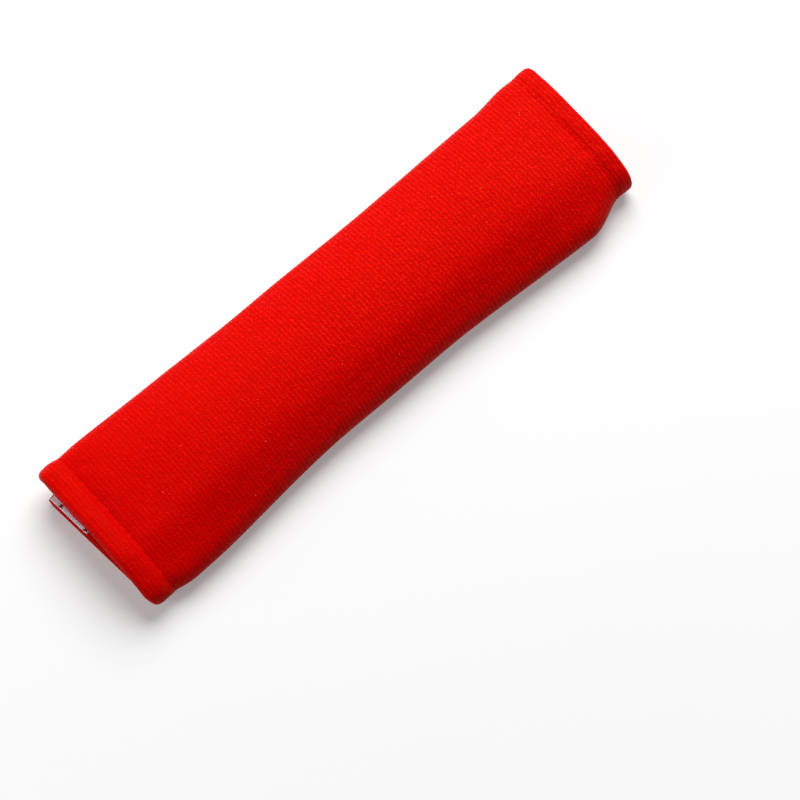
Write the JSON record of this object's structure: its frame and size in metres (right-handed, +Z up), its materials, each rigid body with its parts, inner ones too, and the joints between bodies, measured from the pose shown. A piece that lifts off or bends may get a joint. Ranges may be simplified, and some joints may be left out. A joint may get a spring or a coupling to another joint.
{
  "type": "seat belt shoulder pad",
  "caption": "Soft ribbed knit pad, wrapped round a seat belt as a flat tube and closed underneath with hook-and-loop tape, to cushion the shoulder.",
  "frame": {"origin": "centre of the bounding box's underside, where the closed pad lies on a surface", "axes": "+X along the belt, away from the end where the closure tape shows; +Y across the belt, towards the side where the flaps close; +Z up, from the outer flap to the crown"},
  "size_m": [0.2735, 0.072, 0.0261],
  "materials": {
    "cover_knit": "bright red cross-ribbed knit with short loops",
    "foam": "thin open-cell sheet foam, hidden inside",
    "lining_tricot": "dark red plain tricot",
    "hook_tape": "whitish nylon tape with rows of small hooks",
    "loop_tape": "whitish nylon tape with brushed loops"
  },
  "bodies": {
    "root": {"outer_cover": "cover_knit", "foam_core": "foam", "inner_lining": "lining_tricot", "hook_tape": "hook_tape", "loop_tape": "loop_tape"}
  },
  "joints": []
}
